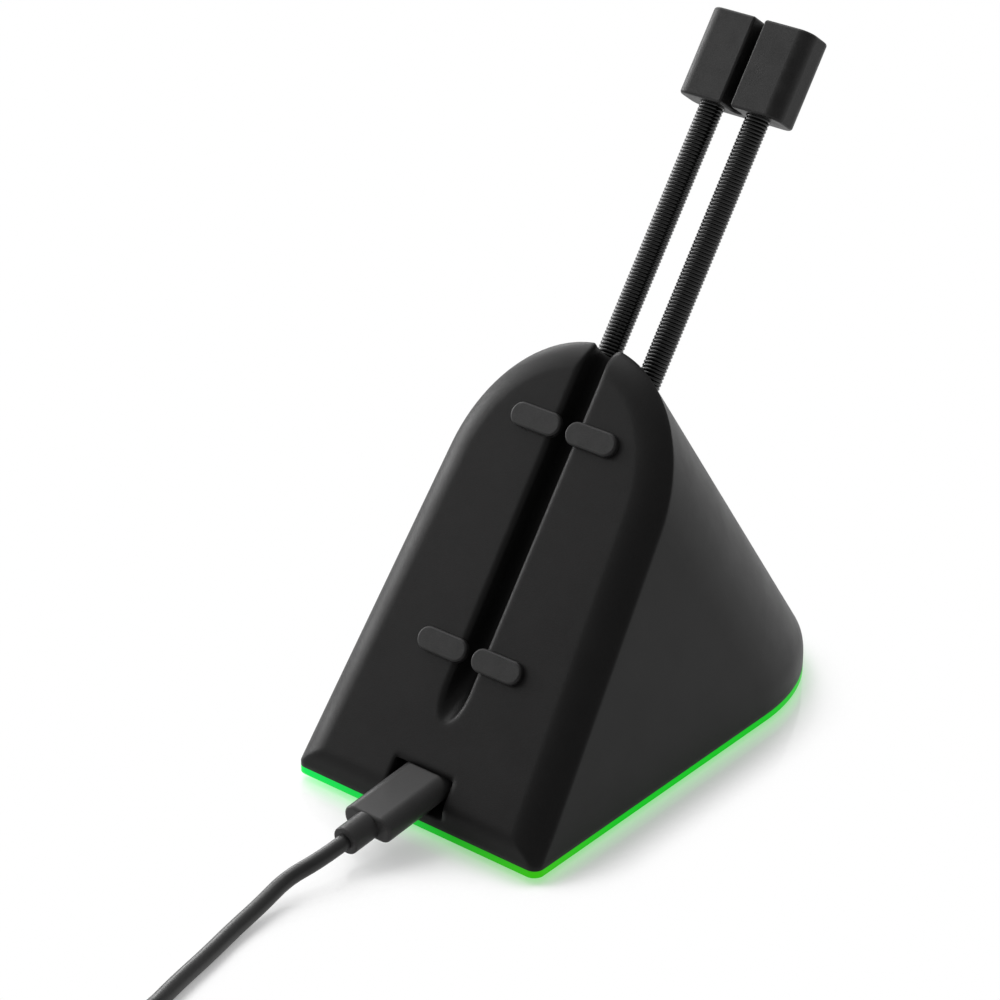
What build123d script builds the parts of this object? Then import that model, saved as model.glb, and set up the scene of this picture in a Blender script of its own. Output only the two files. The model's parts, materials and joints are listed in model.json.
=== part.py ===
# Mouse bungee: a weighted wedge with a cable channel down its leaning face and a forked clip on two spring arms.
# Millimetres, +Z up, floor at Z 0, the face looks towards -Y, origin under the middle of the wedge.

import os
from math import atan2, cos, degrees, radians, sin, sqrt, tan

from build123d import *

# Form of the wedge
base_width = 64.0
face_lean = 35.4        # degrees back from upright; the back falls at the same angle
side_taper = 3.6        # degrees that each side of the arch leans in
arch_side = 66.0        # straight side of the arch, measured up the face
arch_rise = 32.6        # round top of the arch, measured up the face
rim_height = 4.8        # upright wall round the foot
border_width = 7.0      # curved border of the face, measured in from its edge
border_radius = 9.4     # of the curve that it falls away in
border_start = 4.0      # degrees at which it leaves the flat of the face
border_turn = 75.0      # degrees of the curve, more than the border needs
corner_round = 2.2      # front corners of the foot
inner_round = 2.1       # along the same edges inside
rim_round = 8.0         # where the slopes turn into the rim
bend_round = 5.0        # where the face turns into the rim
wall = 2.4

# Levels above the floor and the fit of pieces on each other
pad_height = 1.2
guide_foot = 1.5
housing_foot = 3.0
base_thick = 2.4
fit = 0.15
cut_margin = 30.0       # how far a cutting form runs past what it cuts

# Cable channel in the face
channel_width = 5.4     # its floor is half round
channel_depth = 6.5
channel_end = 15.9      # lower tip, measured up the face
channel_wall = 1.6
channel_ramp = 45.0     # radius of the floor's rise to the tip
channel_round = 0.9     # along the edge of its mouth

# Rubber pegs across the channel
peg_length = 12.6
peg_width = 5.0
peg_raise = 1.2
peg_gap = 1.6
peg_low = 30.1          # lower row, measured up the face
peg_drop = 19.9         # upper row, below the top of the arch
peg_round = 0.5
peg_stem_length = 5.6
peg_stem_width = 2.6
peg_stem_out = 2.1      # from the peg's middle towards its outer end
peg_barb = 0.5
peg_barb_height = 1.1

# Spring arms
arm_spacing = 11.6
arm_set = 12.2          # centre line behind the face
spring_diameter = 5.2
spring_wire = 0.75
spring_pitch = 0.773
turns_per_ridge = 4     # each ridge of the solid stands for this many turns
arm_reach = 9.6         # how far the arms go into the clip

# Holder of the arms inside the housing
holder_drop = 17.0      # its top, below the top of the arch
holder_floor = 2.0
holder_length = 14.0
holder_core = 19.0
holder_width = 31.0
holder_thick = 10.8
holder_ear = 5.0
holder_round = 1.5
holder_screw_spacing = 23.2
boss_diameter = 6.4
boss_pilot = 4.8

# Clip on the arms
clip_rise = 53.3        # its foot, above the top of the arch
clip_length = 19.0
clip_width = 25.5
clip_depth = 9.2
clip_round = 3.0
clip_gap = 2.4
clip_slot = 6.0
clip_edge = 0.6
clip_lip = 0.5          # round at the mouth of the gap

# Screws: head diameter, head height, shank diameter
case_screw = (5.6, 1.4, 2.4)
small_screw = (3.6, 1.1, 1.6)
case_screw_length = 12.0
ballast_screw_length = 7.0
port_screw_length = 4.2
screw_slot = 0.7
screw_cross = 0.6       # length of the cross, as a share of the head

# Columns that take the case screws
column_diameter = 7.0
column_front = 24.0     # in from the front
column_back = 26.0      # in from the back
column_gap = 1.8        # beside the strip board
pad_screw_hole = 8.0

# Ring of light round the foot
guide_wall = 1.3
guide_top = 5.6
pad_inset = 6.0
pad_round = 0.4
strip_inset = 5.2
strip_width = 3.0
strip_thick = 1.0
strip_ledge = 0.3
strip_gap = 24.0        # open at the front, where the plug's pocket is
led_count = 26
led_size = (3.2, 1.6, 1.4)

# Steel weight
ballast_width = 34.0
ballast_height = 12.0
ballast_front = 30.0    # in from the front of the wedge
ballast_back = 36.0     # in from the back of the wedge
ballast_chamfer = 1.0
ballast_screw_spacing = 30.0

# Port and its pocket, along an axis that dips towards the desk
port_height = 9.2       # axis above the floor, at the front wall
port_dip = 7.5
recess_width = 15.4
recess_rise = 6.8
recess_drop = 0.4       # its middle, below the port's axis
recess_round = 0.6
recess_depth = 6.5
pocket_wall = 1.6
port_width = 9.0
port_rise = 3.2
port_length = 7.4
port_sheet = 0.25
port_block = 1.0
tongue_width = 6.6
tongue_rise = 0.7
tongue_set = 0.7        # tip behind the port's mouth
port_board_width = 16.0
port_board_length = 9.4
port_board_thick = 1.0
port_post_diameter = 5.0
port_post_spacing = 11.0
port_post_back = 2.6    # from the board's rear edge

# Plug in the port
plug_width = 12.1
plug_rise = 5.7
plug_round = 2.7
plug_edge = 0.6
plug_reach = 13.6       # body in front of the front wall
plug_shell_width = 8.3
plug_shell_rise = 2.5
plug_shell_sheet = 0.3
plug_shell_length = 6.3
plug_boss = 6.0
plug_boss_length = 6.4
plug_boss_edge = 0.4

# Lead, with its put-away coil and the plug on its far end
cable = 3.4
coil_turns_across = 3
coil_layers = 4
coil_radius = 18.7      # middle of the turns
coil_stub = 13.0        # straight end of a coil, up to where it leaves the ring
tie_thick = 0.8
tie_turn = 18.0         # degrees of the coil that each tie covers
lead_bends = [          # across from the exit, out from it, and the height of the centre line above the desk
    (-2.9, 14.3, 4.0),
    (-2.6, 22.3, 2.5),
    (0.6, 31.3, 1.7),
    (1.8, 40.8, 1.7),
    (2.6, 51.3, 1.7),
    (5.2, 61.0, 1.7),
    (6.9, 71.0, 5.1),
    (6.7, 81.0, 9.5),
]
lead_start = 6.8        # straight run out of the boss
bend_share = 0.45       # how much of a run each of its bends may use
lead_end = (6.2, 98.0)  # across and out, where the lead joins the coil
lead_end_run = 8.0
host_body = (15.6, 7.6, 21.0)
host_body_round = 2.0
host_shell = (12.0, 4.5, 12.0)
host_sheet = 0.35
host_tongue = (11.0, 1.9, 10.0)
host_boss = 6.0
host_boss_length = 8.0
host_edge = 0.6
tail_runs = (5.0, 6.0, 5.0)

# What follows from the sizes above
lean = radians(face_lean)
side_slope = tan(radians(side_taper))
arch_top = arch_side + arch_rise
plan_stretch = 2*sin(lean)      # the arch laid down on the rim
plan_slope = side_slope/plan_stretch
depth = plan_stretch*arch_top
front_y = -depth/2
back_y = depth/2
rim_z = housing_foot + rim_height
base_top = pad_height + base_thick
base_inset = wall + 2*fit + guide_wall
up_face = Vector(0, sin(lean), cos(lean))
out_face = Vector(0, -cos(lean), sin(lean))
face_plane = Plane(origin=(0, front_y, rim_z), x_dir=(1, 0, 0), z_dir=out_face)
dip = radians(port_dip)
port_out = Vector(0, -cos(dip), -sin(dip))
port_plane = Plane(origin=(0, front_y, port_height), x_dir=(1, 0, 0), z_dir=port_out)
arm_xs = (-arm_spacing/2, arm_spacing/2)
holder_top = arch_top - holder_drop
holder_foot = holder_top - holder_length
arm_foot = holder_foot + holder_floor
clip_foot = arch_top + clip_rise
peg_rows = {"lower": peg_low, "upper": arch_top - peg_drop}
ballast_mid = (front_y + ballast_front + back_y - ballast_back)/2
ballast_length = depth - ballast_front - ballast_back
from_below = (Align.CENTER, Align.CENTER, Align.MIN)
ballast_points = [(0, ballast_mid + side*ballast_screw_spacing/2) for side in (-1, 1)]
tie_places = (90, 270)          # degrees round the coil


def cross_plane(up, back):
    """Plane across the face's rise, at a place up it and back from it; its Y points into the wedge."""
    return Plane(origin=face_plane.from_local_coords((0, up, -back)), x_dir=(1, 0, 0), z_dir=up_face)


def across_arms(up):
    return cross_plane(up, arm_set)


def half_width(y):
    """Half the width of the wedge's foot at a place between its front and its back."""
    centre = front_y + arch_side*plan_stretch
    reach = base_width/2 - side_slope*arch_side
    past = max(0.0, y - centre)/(arch_rise*plan_stretch)
    return reach*sqrt(1 - past**2) + plan_slope*max(0.0, centre - y)


def plan_outline(inset, z, start_y=None):
    """Foot of the wedge, drawn in by an inset: tapered sides that run into half an ellipse at the back."""
    start = front_y + inset if start_y is None else start_y
    centre = front_y + arch_side*plan_stretch
    reach = base_width/2 - side_slope*arch_side - inset
    rise = arch_rise*plan_stretch - inset
    half = sqrt(reach**2 - (plan_slope*rise)**2)
    join = degrees(atan2(plan_slope*rise, half))
    half_front = reach + plan_slope*(centre - start)
    with BuildSketch(Plane.XY.offset(z)) as plan:
        with BuildLine():
            top = EllipticalCenterArc((0, centre), half, rise, join, arc_size=180 - 2*join)
            right = Line((half_front, start), top @ 0)
            left = Line(top @ 1, (-half_front, start))
            Line(left @ 1, right @ 0)
        make_face()
        corner = corner_round - inset if inset < wall else inner_round + wall - inset
        if start_y is None and corner > 0:
            fillet(plan.vertices().group_by(Axis.Y)[0], corner)
    return plan.sketch


def wedge(inset, foot, loop_round):
    """The wedge's form, drawn in by an inset: its plan is carried up the rim and then up the slope."""
    plan = plan_outline(inset, foot, front_y - cut_margin)
    climb = arch_top + cut_margin
    with BuildLine(Plane.YZ) as path:
        FilletPolyline((0, foot), (0, rim_z), (-climb*sin(lean), rim_z + climb*cos(lean)), radius=rim_round - inset)
    with BuildPart() as form:
        sweep(plan, path=path.line, normal=(0, 0, 1))
        split(bisect_by=face_plane.offset(-inset), keep=Keep.BOTTOM)
        split(bisect_by=Plane.XZ.offset(-front_y - inset), keep=Keep.BOTTOM)
        level = form.edges().filter_by(Axis.X)
        fillet(level.sort_by(Axis.Z)[1:2], bend_round - inset)
        front = form.faces().filter_by(lambda f: f.center().Y < 0 and abs(f.normal_at().X) < 0.001)
        front = front.filter_by(lambda f: f.normal_at().Y < -0.1)
        edges = [edge for face in front for edge in face.edges()]
        edges = [e for e in edges if sum(e.is_same(other) for other in edges) == 1]
        loop = [e for e in edges if (e @ 0.5).Z > foot + 0.01]
        fillet(loop, loop_round)
    return form.part


def border_cut():
    """What the border of the face falls away by: an arc carried up one side, round the arch and down the other."""
    reach = base_width/2 - side_slope*arch_side - border_width
    rise = arch_rise - border_width
    half = sqrt(reach**2 - (side_slope*rise)**2)
    join = degrees(atan2(side_slope*rise, half))
    foot = base_width/2 - border_width + side_slope*cut_margin
    with BuildLine(face_plane) as path:
        top = EllipticalCenterArc((0, arch_side), half, rise, join, arc_size=180 - 2*join)
        Line((foot, -cut_margin), top @ 0)
        Line(top @ 1, (-foot, -cut_margin))
    along = path.wire()
    start = radians(border_start)
    with BuildPart() as cut:
        with BuildSketch(Plane(origin=along @ 0, x_dir=(1, 0, 0), z_dir=along % 0)):
            with BuildLine():
                middle = (-border_radius*sin(start), border_radius*cos(start))
                arc = CenterArc(middle, border_radius, -90, border_turn)
                Polyline(arc @ 1, ((arc @ 1).X, -border_width), ((arc @ 0).X, -border_width), arc @ 0)
            make_face()
        sweep(path=along)
    return cut.part


def screw(plane, size, length):
    """Pan-head screw with a cross in its head, its head's seat on the plane and its shank along the plane's Z."""
    head, head_height, shank = size
    with BuildPart(plane) as piece:
        Cylinder(shank/2, length, align=from_below)
        Cylinder(head/2, head_height, align=(Align.CENTER, Align.CENTER, Align.MAX))
        with Locations((0, 0, -head_height)):
            for turn in (0, 90):
                Box(head*screw_cross, screw_slot, head_height, rotation=(0, 0, turn), mode=Mode.SUBTRACT)
    return piece.part


def screws(planes, size, length):
    """Screws of one kind, as separate solids of one node."""
    return Compound(children=[screw(plane, size, length) for plane in planes])


def tube(points, diameter):
    """Round tube along a route, with each bend as wide as its shorter run lets it be."""
    runs = [Vector(*b) - Vector(*a) for a, b in zip(points, points[1:])]
    radii = []
    for before, after in zip(runs, runs[1:]):
        turn = radians(before.get_angle(after))
        radii.append(bend_share*min(before.length, after.length)/tan(turn/2))
    print("bends", [round(radius) for radius in radii])
    with BuildPart() as piece:
        with BuildLine() as route:
            FilletPolyline(*points, radius=radii)
        with BuildSketch(Plane(origin=route.line @ 0, z_dir=route.line % 0)):
            Circle(diameter/2)
        sweep(path=route.line)
    return piece.part


def save(shape, label):
    shape.label = label
    export_step(shape, f"parts/{label}.step")


column_points = []
for y in (front_y + column_front, back_y - column_back):
    across = half_width(y) - strip_inset - strip_width - column_gap - column_diameter/2
    column_points += [(-across, y), (across, y)]

os.makedirs("parts", exist_ok=True)

# Housing: shell of the wedge with the channel, the plug's pocket, the columns and the bosses moulded in
outer = wedge(0.0, housing_foot, corner_round)
inner = wedge(wall, housing_foot - cut_margin, inner_round)

turn_out = channel_ramp - channel_depth     # axis of the ramp's turn, in front of the face
ramp_top = channel_end + sqrt(channel_ramp**2 - turn_out**2)
with BuildPart() as channel_cut:
    with BuildSketch(cross_plane(ramp_top, 0)) as profile:
        with Locations((0, channel_depth)):
            SlotOverall(channel_depth + turn_out/2 + channel_width, channel_width, rotation=90,
                        align=(Align.MAX, Align.CENTER))
    extrude(amount=arch_top)
    turn_axis = Axis(face_plane.from_local_coords((0, ramp_top, turn_out)), (-1, 0, 0))
    revolve(profile.sketch, axis=turn_axis, revolution_arc=90)

with BuildPart() as block:
    add(outer)
    add(channel_cut.part, mode=Mode.SUBTRACT)
    mouth = block.edges().filter_by(lambda e: abs(face_plane.to_local_coords(e @ 0.5).Z) < 0.001)
    mouth = mouth.filter_by(lambda e: abs((e @ 0.5).X) < channel_width/2 + 0.001)
    fillet(mouth.filter_by(lambda e: face_plane.to_local_coords(e @ 0.5).Y > channel_end/2), channel_round)
    add(border_cut(), mode=Mode.SUBTRACT)

with BuildPart() as ribs:
    with BuildSketch(face_plane):
        with Locations((0, channel_end - channel_wall)):
            Rectangle(channel_width + 2*channel_wall, arch_top, align=(Align.CENTER, Align.MIN))
    extrude(amount=-(channel_depth + channel_wall))
    with BuildSketch(port_plane):
        with Locations((0, -recess_drop)):
            Rectangle(recess_width + 2*pocket_wall, recess_rise + 2*pocket_wall)
    extrude(amount=-(recess_depth + pocket_wall))
    with BuildSketch(Plane.XY.offset(base_top)):
        with Locations(*column_points):
            Circle(column_diameter/2)
    extrude(amount=arch_top)
    with BuildSketch(across_arms(holder_top)):
        with GridLocations(holder_screw_spacing, 0, 2, 1):
            Circle(boss_diameter/2)
    extrude(amount=arch_top - holder_top)
    add(block.part, mode=Mode.INTERSECT)

with BuildPart() as housing:
    add(block.part)
    add(inner, mode=Mode.SUBTRACT)
    add(ribs.part)
    with BuildSketch(port_plane.offset(-recess_depth)):
        with Locations((0, -recess_drop)):
            RectangleRounded(recess_width, recess_rise, recess_round)
    extrude(amount=recess_depth + cut_margin, mode=Mode.SUBTRACT)
    with BuildSketch(port_plane.offset(-recess_depth)):
        SlotOverall(port_width + 2*fit, port_rise + 2*fit)
    extrude(amount=-(pocket_wall + fit), mode=Mode.SUBTRACT)
    with BuildSketch(across_arms(holder_top)):
        with Locations(*[(x, 0) for x in arm_xs]):
            Circle(spring_diameter/2 + fit)
    extrude(amount=cut_margin, mode=Mode.SUBTRACT)
    with BuildSketch(across_arms(holder_top)):
        with GridLocations(holder_screw_spacing, 0, 2, 1):
            Circle(small_screw[2]/2 + fit/2)
    extrude(amount=boss_pilot + fit, mode=Mode.SUBTRACT)
    with BuildSketch(Plane.XY.offset(base_top)):
        with Locations(*column_points):
            Circle(case_screw[2]/2 + fit/2)
    extrude(amount=case_screw_length, mode=Mode.SUBTRACT)
    with BuildSketch(face_plane):
        for row in peg_rows.values():
            stem_x = peg_gap/2 + peg_length/2 + peg_stem_out
            with Locations((-stem_x, row), (stem_x, row)):
                SlotOverall(peg_stem_length + 2*fit, peg_stem_width + 2*fit)
    extrude(amount=-(wall + fit), mode=Mode.SUBTRACT)
save(housing.part, "housing")

# Pegs: rubber heads over the edge of the channel, on barbed stems through the face
for row_name, row in peg_rows.items():
    for side_name, side in (("left", -1), ("right", 1)):
        peg_x = side*(peg_gap + peg_length)/2
        with BuildPart() as peg:
            with BuildSketch(face_plane):
                with Locations((peg_x, row)):
                    SlotOverall(peg_length, peg_width)
            extrude(amount=peg_raise)
            fillet(peg.faces().sort_by(Axis(face_plane.origin, out_face))[-1].edges(), peg_round)
            with BuildSketch(face_plane):
                with Locations((peg_x + side*peg_stem_out, row)):
                    SlotOverall(peg_stem_length, peg_stem_width)
            extrude(amount=-(wall + fit))
            with BuildSketch(face_plane.offset(-(wall + fit))):
                with Locations((peg_x + side*peg_stem_out, row)):
                    SlotOverall(peg_stem_length + 2*peg_barb, peg_stem_width + 2*peg_barb)
            extrude(amount=-peg_barb_height, taper=15)
        save(peg.part, f"peg_{row_name}_{side_name}")

# Base plate: closes the wedge from below and carries the weight, the strip board and the port board
board_front = recess_depth + pocket_wall + 2*fit
board_plane = Plane(origin=port_plane.from_local_coords((0, -port_rise/2 - port_board_thick, -board_front)),
                    x_dir=(1, 0, 0), z_dir=port_plane.y_dir)
post_points = [(side*port_post_spacing/2, port_board_length - port_post_back) for side in (-1, 1)]


def strip_ring(z, height):
    """Strip that follows the wall inside, open at the front."""
    with BuildPart() as ring:
        extrude(plan_outline(strip_inset, z), amount=height)
        extrude(plan_outline(strip_inset + strip_width, z), amount=height, mode=Mode.SUBTRACT)
        with BuildSketch(Plane.XY.offset(z)):
            with Locations((0, front_y)):
                Rectangle(strip_gap, 2*(strip_inset + 2*strip_width))
        extrude(amount=height, mode=Mode.SUBTRACT)
    return ring.part


with BuildPart() as base_plate:
    extrude(plan_outline(base_inset, pad_height), amount=base_thick)
    add(strip_ring(base_top, strip_ledge))
    with BuildSketch(board_plane):
        with Locations(*post_points):
            Circle(port_post_diameter/2)
    extrude(amount=-cut_margin)
    split(bisect_by=Plane.XY.offset(pad_height), keep=Keep.TOP)
    with BuildSketch(board_plane):
        with Locations(*post_points):
            Circle(small_screw[2]/2 + fit/2)
    extrude(amount=-port_screw_length, mode=Mode.SUBTRACT)
    with Locations(*[(x, y, pad_height) for x, y in column_points + ballast_points]):
        Cylinder(case_screw[0]/2 + fit, case_screw[1], align=from_below, mode=Mode.SUBTRACT)
        Cylinder(case_screw[2]/2 + fit, base_thick, align=from_below, mode=Mode.SUBTRACT)
save(base_plate.part, "base_plate")

# Grip pad: rubber sheet under the base plate, with holes over the case screws
with BuildPart() as grip_pad:
    extrude(plan_outline(pad_inset, 0.0), amount=pad_height)
    fillet(grip_pad.faces().sort_by(Axis.Z)[0].edges(), pad_round)
    with Locations(*[(x, y, 0) for x, y in column_points]):
        Cylinder(pad_screw_hole/2, pad_height, align=from_below, mode=Mode.SUBTRACT)
save(grip_pad.part, "grip_pad")

# Light guide: clear ring under the housing's rim, with an upstand inside the wall that takes the light in
with BuildPart() as light_guide:
    extrude(plan_outline(0.0, guide_foot), amount=housing_foot - guide_foot)
    extrude(plan_outline(wall + fit, housing_foot), amount=guide_top - housing_foot)
    extrude(plan_outline(base_inset - fit, guide_foot), amount=guide_top, mode=Mode.SUBTRACT)
    with BuildSketch(Plane.XY.offset(housing_foot)):
        with Locations((0, front_y)):
            Rectangle(strip_gap, 2*base_inset)
    extrude(amount=guide_top, mode=Mode.SUBTRACT)
save(light_guide.part, "light_guide")

# Strip board on the base plate's ledge, open at the front, with its lamps in a row
strip_z = base_top + strip_ledge
save(strip_ring(strip_z, strip_thick), "light_board")

lamp_line = plan_outline(strip_inset + strip_width/2, strip_z + strip_thick).wire()
lamps = []
for number in range(led_count):
    place = lamp_line.position_at((number + 0.5)/led_count)
    along = lamp_line.tangent_at((number + 0.5)/led_count)
    if abs(place.X) > strip_gap/2 + led_size[0] or place.Y > 0:
        with BuildPart(Plane(origin=place, x_dir=along, z_dir=(0, 0, 1))) as lamp:
            Box(*led_size, align=from_below)
        lamps.append(lamp.part)
save(Compound(children=lamps), "leds")

# Ballast: steel block on the base plate
with BuildPart() as ballast:
    with BuildSketch(Plane.XY.offset(base_top)):
        with Locations((0, ballast_mid)):
            Rectangle(ballast_width, ballast_length)
    extrude(amount=ballast_height)
    chamfer(ballast.edges(), ballast_chamfer)
    with BuildSketch(Plane.XY.offset(base_top)):
        with Locations(*ballast_points):
            Circle(case_screw[2]/2 + fit/2)
    extrude(amount=ballast_screw_length, mode=Mode.SUBTRACT)
save(ballast.part, "ballast")

# Screws from below
seat_z = pad_height + case_screw[1]
save(screws([Plane((x, y, seat_z)) for x, y in column_points], case_screw, case_screw_length), "case_screws")
save(screws([Plane((x, y, seat_z)) for x, y in ballast_points], case_screw, ballast_screw_length), "ballast_screws")

# Port board, its screws, and the port: folded shell round a tongue
with BuildPart() as port_board:
    with BuildSketch(board_plane):
        Rectangle(port_board_width, port_board_length, align=(Align.CENTER, Align.MIN))
        with Locations(*post_points):
            Circle(small_screw[2]/2 + fit, mode=Mode.SUBTRACT)
    extrude(amount=port_board_thick)
save(port_board.part, "port_board")

board_seats = [Plane(origin=board_plane.from_local_coords((x, y, port_board_thick)), x_dir=(1, 0, 0),
                     z_dir=-board_plane.z_dir) for x, y in post_points]
save(screws(board_seats, small_screw, port_screw_length), "port_board_screws")

mouth_plane = port_plane.offset(-recess_depth)
with BuildPart() as port_shell:
    with BuildSketch(mouth_plane):
        SlotOverall(port_width, port_rise)
        SlotOverall(port_width - 2*port_sheet, port_rise - 2*port_sheet, mode=Mode.SUBTRACT)
    extrude(amount=-port_length)
save(port_shell.part, "port_shell")

with BuildPart() as port_tongue:
    with BuildSketch(mouth_plane.offset(-tongue_set)):
        Rectangle(tongue_width, tongue_rise)
    extrude(amount=-(port_length - tongue_set))
    with BuildSketch(mouth_plane.offset(-(port_length - port_block))):
        SlotOverall(port_width - 2*port_sheet - fit, port_rise - 2*port_sheet - fit)
    extrude(amount=-port_block)
save(port_tongue.part, "port_tongue")

# Arm holder: block with two sockets, saddled over the channel, on ears that screw to the bosses
with BuildPart() as arm_holder:
    with BuildSketch(across_arms(holder_foot)):
        RectangleRounded(holder_core, holder_thick, holder_round)
    extrude(amount=holder_length)
    with BuildSketch(across_arms(holder_top - holder_ear)):
        SlotOverall(holder_width, boss_diameter + 2)
    extrude(amount=holder_ear)
    groove = channel_depth + channel_wall + fit - arm_set + holder_thick/2
    with BuildSketch(across_arms(holder_foot)):
        with Locations((0, -holder_thick/2)):
            Rectangle(channel_width + 2*channel_wall + 2*fit, 2*groove)
    extrude(amount=holder_length, mode=Mode.SUBTRACT)
    with BuildSketch(across_arms(arm_foot)):
        with Locations(*[(x, 0) for x in arm_xs]):
            Circle(spring_diameter/2 + fit/2)
    extrude(amount=holder_length, mode=Mode.SUBTRACT)
    with BuildSketch(across_arms(holder_foot)):
        with GridLocations(holder_screw_spacing, 0, 2, 1):
            Circle(small_screw[2]/2 + fit)
    extrude(amount=holder_length, mode=Mode.SUBTRACT)
save(arm_holder.part, "arm_holder")

ear_plane = across_arms(holder_top - holder_ear)
ear_seats = [Plane(origin=ear_plane.from_local_coords((side*holder_screw_spacing/2, 0, 0)), x_dir=(1, 0, 0),
                   z_dir=up_face) for side in (-1, 1)]
save(screws(ear_seats, small_screw, holder_ear + boss_pilot), "arm_holder_screws")

# Spring arms: tubes with a ridge for every few turns where they show
ridge = turns_per_ridge*spring_pitch
arm_length = clip_foot + arm_reach - arm_foot
crest = spring_diameter/2
root = crest - spring_wire/2
teeth = [(crest, holder_length)]
for number in range(int((clip_foot - arm_foot - holder_length)/ridge)):
    teeth.append((root, holder_length + (number + 0.5)*ridge))
    teeth.append((crest, holder_length + (number + 1)*ridge))
for side_name, x in zip(("left", "right"), arm_xs):
    arm_plane = Plane(origin=face_plane.from_local_coords((x, arm_foot, -arm_set)), x_dir=(1, 0, 0), z_dir=out_face)
    with BuildPart() as spring:
        with BuildSketch(arm_plane):
            with BuildLine():
                Polyline((crest - spring_wire, 0), (crest, 0), *teeth, (crest, arm_length),
                         (crest - spring_wire, arm_length), close=True)
            make_face()
        revolve(axis=Axis(arm_plane.origin, up_face))
    save(spring.part, f"spring_{side_name}")

# Clip: rounded block, forked towards the front, with a socket for each arm
with BuildPart() as cable_clip:
    with BuildSketch(across_arms(clip_foot)) as fork:
        RectangleRounded(clip_width, clip_depth, clip_round)
        with Locations((0, -clip_depth/2 + clip_slot)):
            slot_length = 2*clip_slot + clip_gap
            SlotOverall(slot_length, clip_gap, rotation=90, align=(Align.MAX, Align.CENTER), mode=Mode.SUBTRACT)
        lips = fork.vertices().filter_by(lambda v: abs(abs(v.X) - clip_gap/2) < 0.001)
        fillet(lips.sort_by(Axis.Y)[:2], clip_lip)
    extrude(amount=clip_length)
    ends = cable_clip.faces().filter_by(lambda f: abs(abs(f.normal_at().dot(up_face)) - 1) < 0.001)
    fillet([e for f in ends for e in f.edges()], clip_edge)
    with BuildSketch(across_arms(clip_foot)):
        with Locations(*[(x, 0) for x in arm_xs]):
            Circle(spring_diameter/2 + fit/2)
    extrude(amount=arm_reach + fit, mode=Mode.SUBTRACT)
save(cable_clip.part, "cable_clip")

# Plug in the port: moulded body with a boss for the lead, and a folded metal mouth
plug_front = port_plane.offset(-(recess_depth - 2*fit))
plug_back = port_plane.offset(plug_reach)
with BuildPart() as plug_body:
    with BuildSketch(plug_front):
        RectangleRounded(plug_width, plug_rise, plug_round)
    extrude(amount=plug_reach + recess_depth - 2*fit)
    along_plug = Axis(port_plane.origin, port_out)
    for end in (0, -1):
        fillet(plug_body.faces().sort_by(along_plug)[end].edges(), plug_edge)
    with BuildSketch(plug_back):
        Circle(plug_boss/2)
    extrude(amount=plug_boss_length)
    fillet(plug_body.edges().sort_by(along_plug)[-1], plug_boss_edge)
save(plug_body.part, "plug_body")

with BuildPart() as plug_shell:
    with BuildSketch(plug_front):
        SlotOverall(plug_shell_width, plug_shell_rise)
        SlotOverall(plug_shell_width - 2*plug_shell_sheet, plug_shell_rise - 2*plug_shell_sheet, mode=Mode.SUBTRACT)
    extrude(amount=-plug_shell_length)
save(plug_shell.part, "plug_shell")

# Lead from the boss over the desk to the coil
cable_exit = port_plane.from_local_coords((0, 0, plug_reach + plug_boss_length))
first_bend = cable_exit + port_out*lead_start
coil_outer = coil_radius + cable*(coil_turns_across - 1)/2
coil_low = tie_thick + cable/2
coil_high = tie_thick + cable*coil_layers - cable/2
coil_x = cable_exit.X + lead_end[0] + coil_outer
coil_y = cable_exit.Y - lead_end[1] - coil_stub
lead_points = [(cable_exit.X, cable_exit.Y, cable_exit.Z), (first_bend.X, first_bend.Y, first_bend.Z)]
lead_points += [(cable_exit.X + across, cable_exit.Y - out, height) for across, out, height in lead_bends]
for run in (lead_end_run, 0):
    lead_points.append((cable_exit.X + lead_end[0], cable_exit.Y - lead_end[1] + run, coil_high))
save(tube(lead_points, cable), "cable_lead")

# Coil: ring of the turns' outer shape, with the straight ends that lead in at the top and out at the foot
with BuildPart() as cable_coil:
    with BuildSketch(Plane.XY.offset(tie_thick)):
        with Locations((coil_x, coil_y)):
            Circle(coil_outer + cable/2)
            Circle(2*coil_radius - coil_outer - cable/2, mode=Mode.SUBTRACT)
    extrude(amount=cable*coil_layers)
    for side, height in ((-1, coil_high), (1, coil_low)):
        with BuildSketch(Plane.XZ.offset(-coil_y)):
            with Locations((coil_x + side*coil_outer, height)):
                Circle(cable/2)
        extrude(amount=-coil_stub)
save(cable_coil.part, "cable_coil")

ties = []
for middle in tie_places:
    with BuildPart() as tie:
        with BuildSketch(Plane.XZ):
            with Locations((coil_radius, tie_thick + cable*coil_layers/2)):
                Rectangle(cable*coil_turns_across + 2*tie_thick, cable*coil_layers + 2*tie_thick)
                Rectangle(cable*coil_turns_across + fit, cable*coil_layers, mode=Mode.SUBTRACT)
        revolve(axis=Axis.Z, revolution_arc=tie_turn)
    ties.append(tie.part.moved(Location((coil_x, coil_y, 0), (0, 0, middle - tie_turn/2))))
save(Compound(children=ties), "cable_ties")

# Tail from the coil's foot to the far plug
host_z = host_body[1]/2
tail_x = coil_x + coil_outer
tail_y = coil_y + coil_stub
tail_points = [
    (tail_x, tail_y, coil_low),
    (tail_x, tail_y + tail_runs[0], coil_low),
    (tail_x, tail_y + tail_runs[0] + tail_runs[1], host_z),
    (tail_x, tail_y + sum(tail_runs), host_z),
]
save(tube(tail_points, cable), "cable_tail")

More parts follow.
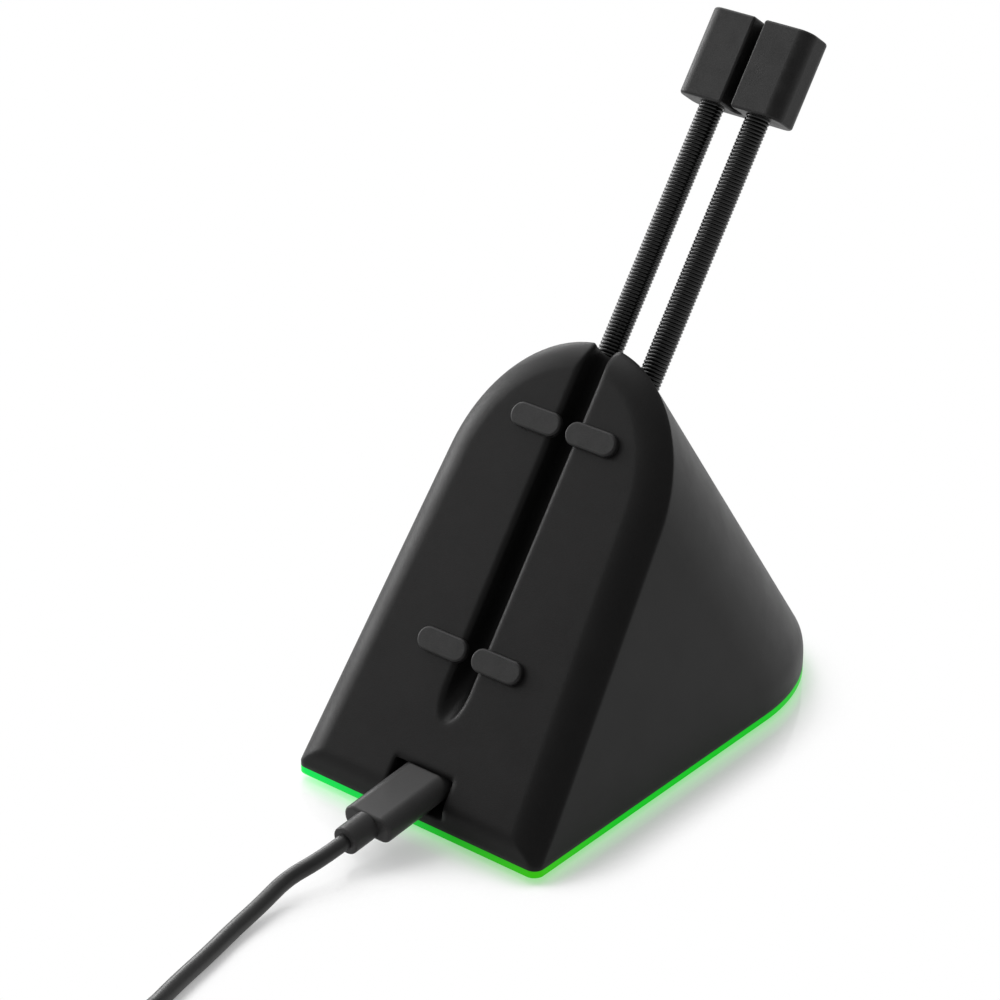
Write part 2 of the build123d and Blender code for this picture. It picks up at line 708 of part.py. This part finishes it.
# Plug on the far end: moulded body with its boss, flat metal shell, and the tongue inside it
host_plane = Plane(origin=(tail_x, tail_y + sum(tail_runs), host_z), x_dir=(1, 0, 0), z_dir=(0, 1, 0))
with BuildPart() as host_plug_body:
    with BuildSketch(host_plane.offset(host_boss_length)):
        RectangleRounded(host_body[0], host_body[1], host_body_round)
    extrude(amount=host_body[2])
    for end in (0, -1):
        fillet(host_plug_body.faces().sort_by(Axis.Y)[end].edges(), host_edge)
    with BuildSketch(host_plane):
        Circle(host_boss/2)
    extrude(amount=host_boss_length)
save(host_plug_body.part, "host_plug_body")

host_front = host_plane.offset(host_boss_length + host_body[2])
with BuildPart() as host_plug_shell:
    with BuildSketch(host_front):
        Rectangle(host_shell[0], host_shell[1])
        Rectangle(host_shell[0] - 2*host_sheet, host_shell[1] - 2*host_sheet, mode=Mode.SUBTRACT)
    extrude(amount=host_shell[2])
save(host_plug_shell.part, "host_plug_shell")

with BuildPart() as host_plug_tongue:
    with BuildSketch(host_front):
        with Locations((0, -host_shell[1]/2 + host_sheet + host_tongue[1]/2)):
            Rectangle(host_tongue[0], host_tongue[1])
    extrude(amount=host_tongue[2])
save(host_plug_tongue.part, "host_plug_tongue")
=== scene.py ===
# Mouse bungee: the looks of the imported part, on a white studio floor, seen from the photograph's place.
# Metres in the part's own frame, +Z up, floor at Z 0, the face looks towards -Y.

import json
from math import cos, pi, radians, sin

import bpy
from mathutils import Matrix, Vector


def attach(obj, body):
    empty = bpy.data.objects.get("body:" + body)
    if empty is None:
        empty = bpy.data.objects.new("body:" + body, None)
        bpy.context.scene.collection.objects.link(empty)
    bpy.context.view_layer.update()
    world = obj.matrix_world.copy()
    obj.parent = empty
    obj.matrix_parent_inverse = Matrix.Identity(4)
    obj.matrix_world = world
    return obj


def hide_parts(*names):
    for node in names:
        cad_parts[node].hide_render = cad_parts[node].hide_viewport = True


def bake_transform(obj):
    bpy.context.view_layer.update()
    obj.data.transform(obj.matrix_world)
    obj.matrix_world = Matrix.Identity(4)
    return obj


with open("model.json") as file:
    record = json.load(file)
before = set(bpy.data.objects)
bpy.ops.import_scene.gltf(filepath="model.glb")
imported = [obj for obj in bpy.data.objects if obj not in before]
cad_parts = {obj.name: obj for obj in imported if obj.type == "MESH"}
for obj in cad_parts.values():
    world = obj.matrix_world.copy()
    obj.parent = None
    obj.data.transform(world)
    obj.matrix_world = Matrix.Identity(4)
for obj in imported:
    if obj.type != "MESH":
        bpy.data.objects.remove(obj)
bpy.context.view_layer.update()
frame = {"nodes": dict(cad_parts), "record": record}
scene = bpy.context.scene
MM = 0.001

# Sizes taken over from the part, in millimetres, and the lean of its face
face_lean = radians(35.4)
front_y = -57.117
rim_z = 7.8
arm_set = 12.2          # how far the arms stand back from the face
arm_xs = {"spring_left": -5.8, "spring_right": 5.8}
arm_foot = 69.6         # the arms' ends and seats, measured up the face
arm_top = 161.5
spring_diameter = 5.2
spring_wire = 0.75
spring_pitch = 0.773
cable = 3.4


def at(x, up, back):
    """Point in metres from millimetres across, up the face and back from it."""
    y = front_y + up*sin(face_lean) + back*cos(face_lean)
    z = rim_z + up*cos(face_lean) - back*sin(face_lean)
    return Vector((x, y, z))*MM


# Small helpers for the node trees of the materials
MIX_FIRST = 6           # places of a colour Mix node's sockets
MIX_SECOND = 7
MIX_COLOUR = 2
NOISE_LOW = 0.3         # most of a noise lies between these
NOISE_HIGH = 0.7


def tree_of(name):
    material = bpy.data.materials.new(name)
    material.use_nodes = True
    tree = material.node_tree
    return material, tree, tree.nodes["Principled BSDF"]


def feed(tree, target, inputs):
    """Links the sockets and sets the plain values that a node's inputs get."""
    for key, value in inputs.items():
        if isinstance(value, bpy.types.NodeSocket):
            tree.links.new(value, target.inputs[key])
        else:
            target.inputs[key].default_value = value


def node(tree, kind, inputs=None, **settings):
    made = tree.nodes.new("ShaderNode" + kind)
    for key, value in settings.items():
        setattr(made, key, value)
    feed(tree, made, inputs or {})
    return made


def object_place(tree):
    return node(tree, "TexCoord").outputs["Object"]


def noise(tree, size, detail=2.0, roughness=0.5):
    """Noise whose features are about as large as size, in millimetres."""
    inputs = {"Vector": object_place(tree), "Scale": 1/(size*MM), "Detail": detail, "Roughness": roughness}
    return node(tree, "TexNoise", inputs).outputs["Fac"]


def ranged(tree, value, low, high, to_low=0.0, to_high=1.0, blend="LINEAR"):
    inputs = {"Value": value, "From Min": low, "From Max": high, "To Min": to_low, "To Max": to_high}
    return node(tree, "MapRange", inputs, interpolation_type=blend).outputs["Result"]


def maths(tree, operation, first, second):
    return node(tree, "Math", {0: first, 1: second}, operation=operation).outputs[0]


def times(colour, factor):
    """Colour made lighter or darker, with an alpha of 1."""
    return (*[c*factor for c in colour], 1)


def shade(tree, share, first, second):
    """Colour between two others, by a share from 0 to 1."""
    inputs = {"Factor": share, MIX_FIRST: first, MIX_SECOND: second}
    return node(tree, "Mix", inputs, data_type="RGBA").outputs[MIX_COLOUR]


def bump(tree, height, depth, normal=None):
    """Normal over a height, depth in millimetres, on top of another normal if there is one."""
    inputs = {"Height": height, "Strength": 1.0, "Distance": depth*MM}
    if normal:
        inputs["Normal"] = normal
    return node(tree, "Bump", inputs).outputs["Normal"]


# Materials
def surface(name, colour, rough, grain, depth, patch=9.0, vary=0.12, spread=0.06, soft=0.0, gloss=0.5):
    """Moulded or painted surface, with its grain, patches and softened edges in millimetres."""
    material, tree, shader = tree_of(name)
    broad = ranged(tree, noise(tree, patch, 4.0, 0.6), NOISE_LOW, NOISE_HIGH)
    fine = noise(tree, grain, 3.0, 0.6)
    speck = ranged(tree, fine, 0.35, 0.75)
    share = maths(tree, "MULTIPLY", maths(tree, "ADD", broad, speck), 0.5)
    edges = node(tree, "Bevel", {"Radius": soft*MM}, samples=8).outputs["Normal"] if soft else None
    feed(tree, shader, {
        "Base Color": shade(tree, share, times(colour, 1 - vary), times(colour, 1 + vary)),
        "Roughness": ranged(tree, broad, 0.0, 1.0, rough - spread, rough + spread),
        "Normal": bump(tree, fine, depth, edges),
        "Specular IOR Level": gloss,
    })
    return material


def metal(name, colour, rough, line, depth):
    """Rolled or plated metal with fine drawn lines along X."""
    material, tree, shader = tree_of(name)
    drawn = node(tree, "Mapping", {"Vector": object_place(tree), "Scale": (0.05, 1.0, 1.0)}).outputs["Vector"]
    lines = node(tree, "TexNoise", {"Vector": drawn, "Scale": 1/(line*MM), "Detail": 3.0}).outputs["Fac"]
    tint = ranged(tree, lines, NOISE_LOW, NOISE_HIGH)
    feed(tree, shader, {
        "Base Color": shade(tree, tint, times(colour, 0.85), times(colour, 1.0)),
        "Metallic": 1.0,
        "Roughness": ranged(tree, noise(tree, 3.0, 3.0), NOISE_LOW, NOISE_HIGH, rough*0.8, rough*1.25),
        "Normal": bump(tree, lines, depth),
    })
    return material


def woven(name, colour, thread):
    """Strap of crossed threads."""
    material, tree, shader = tree_of(name)
    place = object_place(tree)
    waves = []
    for direction in ("X", "Y", "Z"):
        inputs = {"Vector": place, "Scale": 1/(2*pi*thread*MM), "Distortion": 0.6}
        waves.append(node(tree, "TexWave", inputs, bands_direction=direction).outputs["Fac"])
    crossed = maths(tree, "ADD", maths(tree, "MULTIPLY", waves[0], waves[1]), waves[2])
    feed(tree, shader, {
        "Base Color": shade(tree, ranged(tree, crossed, 0.0, 1.6), times(colour, 0.6), times(colour, 1.5)),
        "Roughness": 0.85,
        "Sheen Weight": 0.2,
        "Normal": bump(tree, crossed, 0.08),
    })
    return material


def light_ring(name):
    """Clear ring that glows green: bluer at the front left, yellower at the front right, brightest below,
    with a painted shadow of the plug as a darker green stretch just right of it.
    """
    left_x, right_x = -0.030, 0.032
    ring_front, ring_side = -0.056, -0.030
    below = 1.4
    material, tree, shader = tree_of(name)
    parts = node(tree, "SeparateXYZ", {"Vector": object_place(tree)}).outputs
    hue = node(tree, "ValToRGB", {"Fac": ranged(tree, parts["X"], left_x, right_x)})
    ramp = hue.color_ramp.elements
    ramp[0].color = (0.0, 0.78, 0.09, 1)
    ramp[1].color = (0.035, 0.48, 0.0, 1)
    # painted shadow: darker green just right of the plug, where the plug's shadow falls on the ring
    ramp.new(0.66).color = (0.012, 0.38, 0.01, 1)
    behind = ranged(tree, parts["Y"], ring_front, ring_side)
    colour = shade(tree, behind, hue.outputs["Color"], (0.0, 0.50, 0.008, 1))
    normal = node(tree, "NewGeometry").outputs["Normal"]
    facing = node(tree, "SeparateXYZ", {"Vector": normal}).outputs["Z"]
    level = ranged(tree, facing, -1.0, -0.5, below, 1.0)
    glow = node(tree, "VectorMath", {0: colour, "Scale": level}, operation="SCALE")
    feed(tree, shader, {
        "Base Color": (0.0, 0.03, 0.005, 1),
        "Roughness": 0.4,
        "Specular IOR Level": 0.08,
        "Emission Color": glow.outputs["Vector"],
        "Emission Strength": 1.0,
        "Normal": bump(tree, noise(tree, 0.4), 0.02),
    })
    return material


def lamp_resin(name):
    """Cloudy clear resin, lit green from inside."""
    material, tree, shader = tree_of(name)
    cloud = ranged(tree, noise(tree, 0.8), NOISE_LOW, NOISE_HIGH)
    feed(tree, shader, {
        "Base Color": shade(tree, cloud, (0.75, 0.8, 0.7, 1), (0.9, 0.95, 0.85, 1)),
        "Roughness": 0.25,
        "Emission Color": (0.1, 0.9, 0.25, 1),
        "Emission Strength": 1.0,
    })
    return material


surfaces = {
    "shell": dict(colour=(0.0092, 0.009, 0.009), rough=0.40, grain=0.30, depth=0.028, vary=0.14, spread=0.03,
                  soft=1.6, gloss=0.1),
    "soft_rubber": dict(colour=(0.0135, 0.0133, 0.0133), rough=0.42, grain=0.28, depth=0.030, patch=3.5,
                        vary=0.42, gloss=0.2),
    "spring_steel": dict(colour=(0.003, 0.003, 0.003), rough=0.11, grain=0.08, depth=0.001, patch=1.5,
                         spread=0.03, gloss=0.38),
    "base": dict(colour=(0.02, 0.02, 0.02), rough=0.5, grain=0.25, depth=0.02),
    "pad": dict(colour=(0.015, 0.015, 0.015), rough=0.8, grain=0.5, depth=0.05, gloss=0.3),
    "board": dict(colour=(0.02, 0.12, 0.05), rough=0.35, grain=0.4, depth=0.01),
    "contact_block": dict(colour=(0.03, 0.03, 0.03), rough=0.45, grain=0.2, depth=0.01),
    "overmould": dict(colour=(0.036, 0.0355, 0.0355), rough=0.38, grain=0.25, depth=0.015, patch=4.0,
                      gloss=0.12),
    "sheath": dict(colour=(0.012, 0.012, 0.012), rough=0.38, grain=0.15, depth=0.006, patch=5.0, gloss=0.35),
}
metals = {
    "steel": dict(colour=(0.5, 0.5, 0.5), rough=0.4, line=0.3, depth=0.01),
    "screw": dict(colour=(0.35, 0.35, 0.36), rough=0.35, line=0.2, depth=0.006),
    "bright_metal": dict(colour=(0.75, 0.75, 0.76), rough=0.2, line=0.2, depth=0.003),
}
materials = {
    "light": light_ring("light"),
    "lamp": lamp_resin("lamp"),
    "strap": woven("strap", colour=(0.02, 0.02, 0.02), thread=0.5),
}
for slot, finish in surfaces.items():
    materials[slot] = surface(slot, **finish)
for slot, finish in metals.items():
    materials[slot] = metal(slot, **finish)

# Every node of the part takes the finish of its slot
for row in frame["record"]["subparts"]:
    piece = frame["nodes"][row["node"]]
    piece.data.materials.clear()
    piece.data.materials.append(materials[row["material_slot"]])


def new_piece(name, data, slot):
    piece = bpy.data.objects.new(name, data)
    scene.collection.objects.link(piece)
    data.materials.append(materials[slot])
    return piece


# Springs: one wire each, wound closely, running straight between the housing and the clip
turn_steps = 24
wire_sides = 12
turn_press = 0.03       # how far a turn presses into the next, so that no light shows between them


def wound_wire(name, x):
    """Mesh of one wire, ring after ring along its helix, closed at both ends."""
    middle = spring_diameter/2 - spring_wire/2
    half_height = (spring_pitch + turn_press)/2
    length = arm_top - arm_foot
    steps = int(length/spring_pitch*turn_steps)
    verts, faces = [], []
    for step in range(steps + 1):
        turn = 2*pi*step/turn_steps
        up = arm_foot + half_height + (length - 2*half_height)*step/steps
        for side in range(wire_sides):
            lift = 2*pi*side/wire_sides
            out = middle + spring_wire/2*cos(lift)
            verts.append(at(x + out*cos(turn), up + half_height*sin(lift), arm_set + out*sin(turn)))
    for step in range(steps):
        for side in range(wire_sides):
            a = step*wire_sides + side
            b = step*wire_sides + (side + 1) % wire_sides
            faces.append((a, b, b + wire_sides, a + wire_sides))
    faces.append(tuple(reversed(range(wire_sides))))
    faces.append(tuple(range(steps*wire_sides, (steps + 1)*wire_sides)))
    mesh = bpy.data.meshes.new(name)
    mesh.from_pydata(verts, [], faces)
    mesh.update()
    mesh.shade_smooth()
    return mesh


for spring_node, x in arm_xs.items():
    wire = new_piece(spring_node + "_wire", wound_wire(spring_node + "_wire", x), "spring_steel")
    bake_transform(wire)
    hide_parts(spring_node)

# Lead: one free curve from the plug over the floor and up on to its put-away coil, and out at the coil's foot
exit_y = front_y - 19.829
lead_points = [         # across, out from the plug, and height
    (0.0, 0.0, 6.589),
    (0.0, 6.742, 5.702),
    (-2.1, 14.3, 4.0),
    (-1.0, 22.3, 2.5),
    (0.3, 31.3, 1.7),
    (2.8, 40.8, 1.7),
    (5.1, 51.3, 1.7),
    (7.8, 61.0, 1.7),
    (10.6, 71.0, 5.1),
    (9.6, 81.0, 9.5),
    (6.2, 90.0, 12.7),
    (6.2, 98.0, 12.7),
]
route = [(across, exit_y - out, height) for across, out, height in lead_points]

coil_x = 28.3
coil_stub = 13.0        # from the coil's middle to where the lead comes in and goes out
coil_y = exit_y - lead_points[-1][1] - coil_stub
coil_radii = (22.1, 18.7, 15.3)
coil_levels = (12.7, 9.3, 5.9, 2.5)
coil_turns = 11.5
points_per_turn = 14
shift_from = 0.78       # share of a turn after which it moves over to the next one


def coil_turn(number):
    """Radius and height of one turn: the layers are wound inwards and outwards by turns."""
    layer, place = divmod(number, len(coil_radii))
    radii = coil_radii if layer % 2 == 0 else coil_radii[::-1]
    return Vector((radii[place], coil_levels[layer]))


last_turn = int(coil_turns)
for number in range(int(coil_turns*points_per_turn) + 1):
    turned, share = divmod(number/points_per_turn, 1)
    here = coil_turn(int(turned))
    if turned < last_turn and share > shift_from:
        here = here.lerp(coil_turn(int(turned) + 1), (share - shift_from)/(1 - shift_from))
    angle = pi + 2*pi*(turned + share)
    route.append((coil_x + here.x*cos(angle), coil_y + here.x*sin(angle), here.y))
tail_x = coil_x + coil_radii[0]
tail_y = coil_y + coil_stub
for run, height in ((0.0, 2.5), (5.0, 2.5), (11.0, 3.8), (16.0, 3.8)):
    route.append((tail_x, tail_y + run, height))

line = bpy.data.curves.new("lead", "CURVE")
line.dimensions = "3D"
line.bevel_depth = cable/2*MM
line.bevel_resolution = 4
line.use_fill_caps = True
spline = line.splines.new("NURBS")
spline.points.add(len(route) - 1)
for point, place in zip(spline.points, route):
    point.co = (*[c*MM for c in place], 1)
spline.order_u = 3
spline.use_endpoint_u = True
spline.resolution_u = 6
lead = new_piece("lead", line, "sheath")
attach(lead, "base")
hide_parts("cable_lead", "cable_coil", "cable_tail")

# Floor: white, with the part's shadow on it
reach = 6.0
corners = [(-reach, -reach, 0), (reach, -reach, 0), (reach, reach, 0), (-reach, reach, 0)]
floor_mesh = bpy.data.meshes.new("floor")
floor_mesh.from_pydata(corners, [], [(0, 1, 2, 3)])
floor = bpy.data.objects.new("floor", floor_mesh)
scene.collection.objects.link(floor)


def seen_directly(tree):
    """1 for rays of the camera and for those that it sees in gloss or through glass, and 0 for others."""
    path = node(tree, "LightPath").outputs
    gloss = maths(tree, "MAXIMUM", path["Is Camera Ray"], path["Is Glossy Ray"])
    return maths(tree, "MAXIMUM", gloss, path["Is Transmission Ray"])


# Away from the part the floor is seen as plain white, and close to it with its shadow and its gloss
shadow_reach = 0.019
shadow_lift = 0.28      # share of plain white beside the part
shadow_dark, shadow_clear = 0.62, 0.92      # openness of the floor where the shadow is full and where it ends
floor_material, tree, shader = tree_of("floor")
feed(tree, shader, {"Base Color": (0.95, 0.95, 0.95, 1), "Roughness": 0.06, "IOR": 1.8})
white = node(tree, "Emission", {"Color": (1, 1, 1, 1), "Strength": 1.0}).outputs[0]
openness = node(tree, "AmbientOcclusion", {"Distance": shadow_reach}, samples=16).outputs["AO"]
lift = ranged(tree, openness, shadow_dark, shadow_clear, shadow_lift, 1.0, "SMOOTHSTEP")
share = maths(tree, "MULTIPLY", seen_directly(tree), lift)
mix = node(tree, "MixShader", {0: share, 1: shader.outputs[0], 2: white})
feed(tree, tree.nodes["Material Output"], {"Surface": mix.outputs[0]})
floor_mesh.materials.append(floor_material)

# World: a studio that is white behind the part and at its left, and dim where the camera stands
bright_side = (-0.8, 0.6, 0.0)
dim_level = 0.40
world = bpy.data.worlds.new("studio")
scene.world = world
world.use_nodes = True
tree = world.node_tree
direction = node(tree, "TexCoord").outputs["Generated"]
towards = node(tree, "VectorMath", {0: direction, 1: bright_side}, operation="DOT_PRODUCT").outputs["Value"]
level = ranged(tree, towards, -0.5, 0.5, dim_level, 1.0, "SMOOTHSTEP")
feed(tree, tree.nodes["Background"], {"Color": (1, 1, 1, 1), "Strength": level})

# Lamps: broad soft ones in front, behind and above, all from the left, and none beside the camera
lamp_target = Vector((0, -0.01, 0.06))


def lamp(name, place, size, power):
    data = bpy.data.lights.new(name, "AREA")
    data.shape = "RECTANGLE"
    data.size, data.size_y = size
    data.energy = power
    made = bpy.data.objects.new(name, data)
    made.location = place
    made.rotation_euler = (lamp_target - Vector(place)).to_track_quat("-Z", "Y").to_euler()
    scene.collection.objects.link(made)


lamp("key", place=(-2.0, -0.7, 0.9), size=(1.6, 1.4), power=25.0)
lamp("left", place=(-2.2, -0.1, 0.30), size=(1.2, 0.5), power=16.0)
lamp("rim", place=(-1.9, 1.3, 0.8), size=(1.0, 0.8), power=16.0)
lamp("top", place=(-1.3, 0.4, 2.0), size=(1.4, 1.4), power=20.0)

# Camera at the photograph's place
azimuth = radians(40.540)
elevation = radians(26.364)
roll = radians(0.453)
distance = 0.7411
target = Vector((-0.00701, -0.02312, 0.05847))
back = Vector((sin(azimuth)*cos(elevation), -cos(azimuth)*cos(elevation), sin(elevation)))
right = Vector((cos(azimuth), sin(azimuth), 0))
up = back.cross(right)
turned_right = right*cos(roll) + up*sin(roll)
turned_up = up*cos(roll) - right*sin(roll)
turn = Matrix((turned_right, turned_up, back)).transposed().to_4x4()
camera_data = bpy.data.cameras.new("camera")
camera_data.sensor_width = 36.0
camera_data.lens = 133.9
camera = bpy.data.objects.new("camera", camera_data)
camera.matrix_world = Matrix.Translation(target + back*distance) @ turn
scene.collection.objects.link(camera)
scene.camera = camera
scene.view_settings.view_transform = "Standard"
